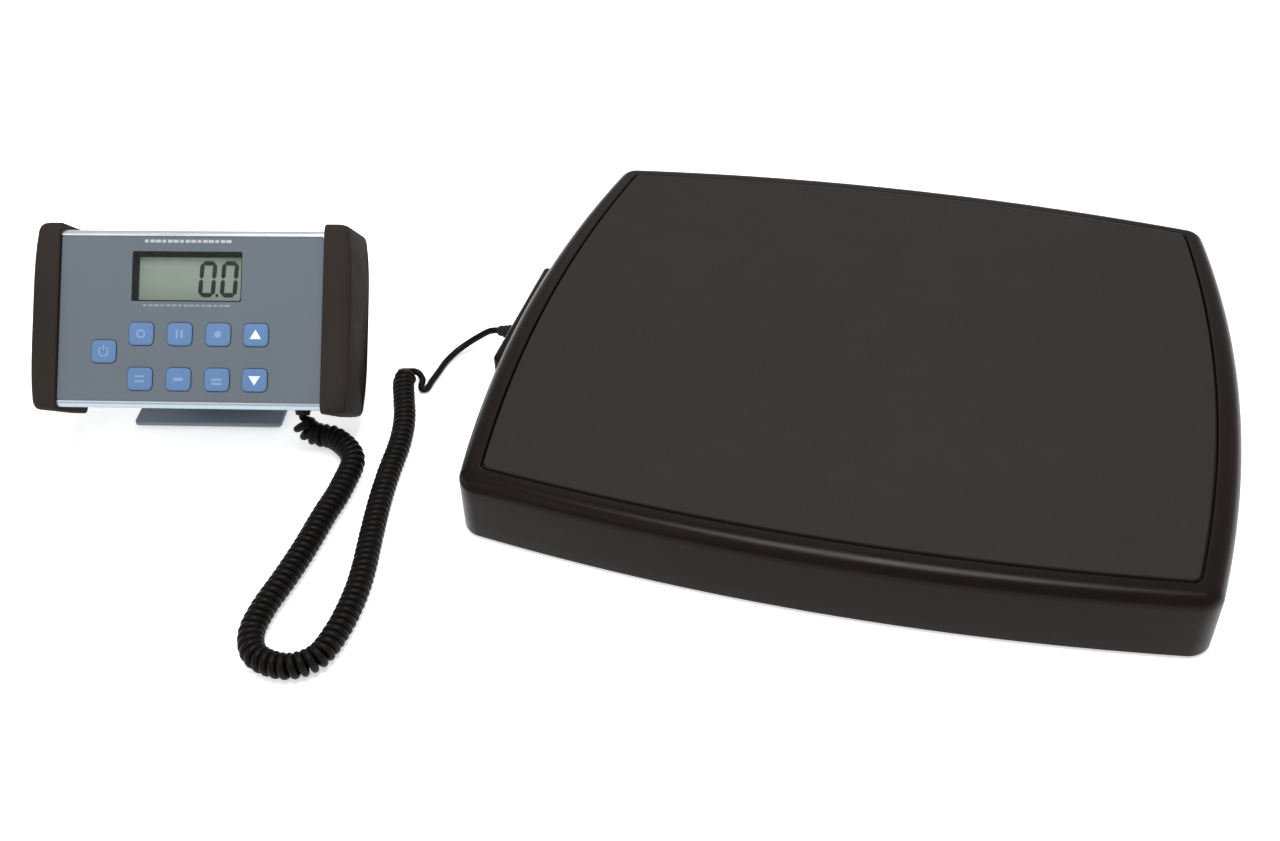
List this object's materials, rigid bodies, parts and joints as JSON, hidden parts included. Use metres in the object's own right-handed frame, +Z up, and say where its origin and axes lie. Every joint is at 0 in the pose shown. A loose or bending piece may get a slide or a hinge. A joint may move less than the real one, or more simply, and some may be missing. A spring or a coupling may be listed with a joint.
{
  "type": "animal weighing scale",
  "caption": "Low electronic weighing platform for animals, with a rubber mat on a sprung deck, joined by a curly cord to a battery display with push keys on a tilting stand.",
  "frame": {"origin": "on the floor, at the middle of the footprint of everything but the cord", "axes": "+X along the platform's width, from the display towards the platform; +Z up; the user stands on the -Y side and the display faces roughly that way"},
  "size_m": [0.5888, 0.4128, 0.1019],
  "materials": {
    "moulded_black": "moulded, satin",
    "ribbed_rubber": "fine pebble",
    "black_rubber": "matt",
    "zinc_steel": "zinc plated",
    "black_nylon": "moulded",
    "circuit_board": "solder mask",
    "aluminium": "satin anodised",
    "printed_overlay": "fine texture",
    "end_cap_black": "moulded, fine texture",
    "clear_window": "clear",
    "liquid_crystal": "gloss",
    "blue_key": "satin",
    "grey_paint": "powder coat",
    "battery_jacket": "gloss sleeve",
    "cord_black": "satin"
  },
  "bodies": {
    "base": {"base_pan": "zinc_steel", "cable_housing": "moulded_black", "cable_socket": "black_nylon", "cell_mount_1": "black_nylon", "cell_mount_2": "black_nylon", "cell_mount_3": "black_nylon", "cell_mount_4": "black_nylon", "coil_rise": "cord_black", "coil_run": "cord_black", "foot_1": "black_rubber", "foot_2": "black_rubber", "foot_3": "black_rubber", "foot_4": "black_rubber", "front_pad": "black_rubber", "junction_board": "circuit_board", "load_cell_1": "zinc_steel", "load_cell_2": "zinc_steel", "load_cell_3": "zinc_steel", "load_cell_4": "zinc_steel", "platform_grommet": "black_rubber", "platform_tail": "cord_black", "rear_pad": "black_rubber", "stand_bracket": "grey_paint", "tilt_bolt": "zinc_steel"},
    "deck": {"deck_cover": "moulded_black", "deck_plate": "zinc_steel", "rubber_mat": "ribbed_rubber", "load_pin_1": "zinc_steel", "load_pin_2": "zinc_steel", "load_pin_3": "zinc_steel", "load_pin_4": "zinc_steel"},
    "display": {"display_case": "aluminium", "face_overlay": "printed_overlay", "left_end_cap": "end_cap_black", "right_end_cap": "end_cap_black", "lcd_window": "clear_window", "lcd_panel": "liquid_crystal", "main_board": "circuit_board", "battery_holder": "black_nylon", "battery_1": "battery_jacket", "battery_2": "battery_jacket", "battery_3": "battery_jacket", "battery_4": "battery_jacket", "tilt_knuckle": "end_cap_black", "display_grommet": "black_rubber"},
    "power_key": {"power_key": "blue_key"},
    "zero_key": {"zero_key": "blue_key"},
    "hold_key": {"hold_key": "blue_key"},
    "unit_key": {"unit_key": "blue_key"},
    "up_key": {"up_key": "blue_key"},
    "clear_key": {"clear_key": "blue_key"},
    "tare_key": {"tare_key": "blue_key"},
    "enter_key": {"enter_key": "blue_key"},
    "down_key": {"down_key": "blue_key"},
    "battery_door": {"battery_door": "end_cap_black"},
    "clamp_knob": {"clamp_knob": "end_cap_black"}
  },
  "joints": [
    {"name": "deck_travel", "type": "slide", "parent": "base", "child": "deck", "axis": [0, 0, 1], "range_m": [-0.0006, 0], "stiffness_N_per_m": 100000, "springref_m": 0.0006},
    {"name": "display_tilt", "type": "hinge", "parent": "base", "child": "display", "pos_m": [-0.21251, -0.07268, 0.02437], "axis": [0.9792, 0.2028, 0], "range_deg": [-38, 8], "deforming": ["coil_rise"]},
    {"name": "clamp_turn", "type": "hinge", "parent": "base", "child": "clamp_knob", "pos_m": [-0.21251, -0.07268, 0.02437], "axis": [0.9792, 0.2028, 0], "continuous": true},
    {"name": "battery_door_slide", "type": "slide", "parent": "display", "child": "battery_door", "axis": [-0.1352, 0.6527, 0.7455], "range_m": [0, 0.016]},
    {"name": "power_key_press", "type": "slide", "parent": "display", "child": "power_key", "axis": [-0.1512, 0.73, -0.6665], "range_m": [0, 0.0006], "stiffness_N_per_m": 300, "springref_m": -0.001},
    {"name": "zero_key_press", "type": "slide", "parent": "display", "child": "zero_key", "axis": [-0.1512, 0.73, -0.6665], "range_m": [0, 0.0006], "stiffness_N_per_m": 300, "springref_m": -0.001},
    {"name": "hold_key_press", "type": "slide", "parent": "display", "child": "hold_key", "axis": [-0.1512, 0.73, -0.6665], "range_m": [0, 0.0006], "stiffness_N_per_m": 300, "springref_m": -0.001},
    {"name": "unit_key_press", "type": "slide", "parent": "display", "child": "unit_key", "axis": [-0.1512, 0.73, -0.6665], "range_m": [0, 0.0006], "stiffness_N_per_m": 300, "springref_m": -0.001},
    {"name": "up_key_press", "type": "slide", "parent": "display", "child": "up_key", "axis": [-0.1512, 0.73, -0.6665], "range_m": [0, 0.0006], "stiffness_N_per_m": 300, "springref_m": -0.001},
    {"name": "clear_key_press", "type": "slide", "parent": "display", "child": "clear_key", "axis": [-0.1512, 0.73, -0.6665], "range_m": [0, 0.0006], "stiffness_N_per_m": 300, "springref_m": -0.001},
    {"name": "tare_key_press", "type": "slide", "parent": "display", "child": "tare_key", "axis": [-0.1512, 0.73, -0.6665], "range_m": [0, 0.0006], "stiffness_N_per_m": 300, "springref_m": -0.001},
    {"name": "enter_key_press", "type": "slide", "parent": "display", "child": "enter_key", "axis": [-0.1512, 0.73, -0.6665], "range_m": [0, 0.0006], "stiffness_N_per_m": 300, "springref_m": -0.001},
    {"name": "down_key_press", "type": "slide", "parent": "display", "child": "down_key", "axis": [-0.1512, 0.73, -0.6665], "range_m": [0, 0.0006], "stiffness_N_per_m": 300, "springref_m": -0.001}
  ]
}
